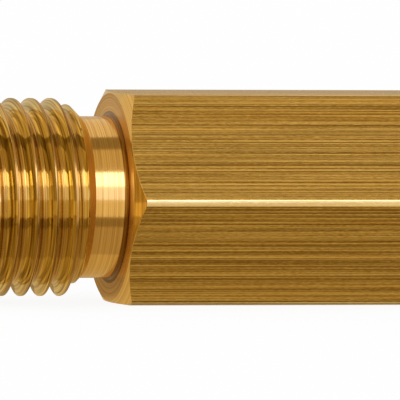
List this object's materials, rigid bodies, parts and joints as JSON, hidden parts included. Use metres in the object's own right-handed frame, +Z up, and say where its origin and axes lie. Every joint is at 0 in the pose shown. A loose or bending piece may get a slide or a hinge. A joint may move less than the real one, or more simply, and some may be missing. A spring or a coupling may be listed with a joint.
{
  "type": "reducing adapter",
  "caption": "Brass reducing adapter: male pipe thread with relief neck, long hexagon and a smaller female pipe thread.",
  "frame": {"origin": "on the axis, in the plane of the sealing shoulder between the relief neck and the hexagon", "axes": "+X along the axis from the male side to the female side, +Z up, normal to the upper flat of the hexagon"},
  "size_m": [0.034, 0.016, 0.014],
  "materials": {
    "turned_brass": "turned and drawn, bright, uncoated"
  },
  "bodies": {
    "root": {"adapter_body": "turned_brass"}
  },
  "joints": []
}
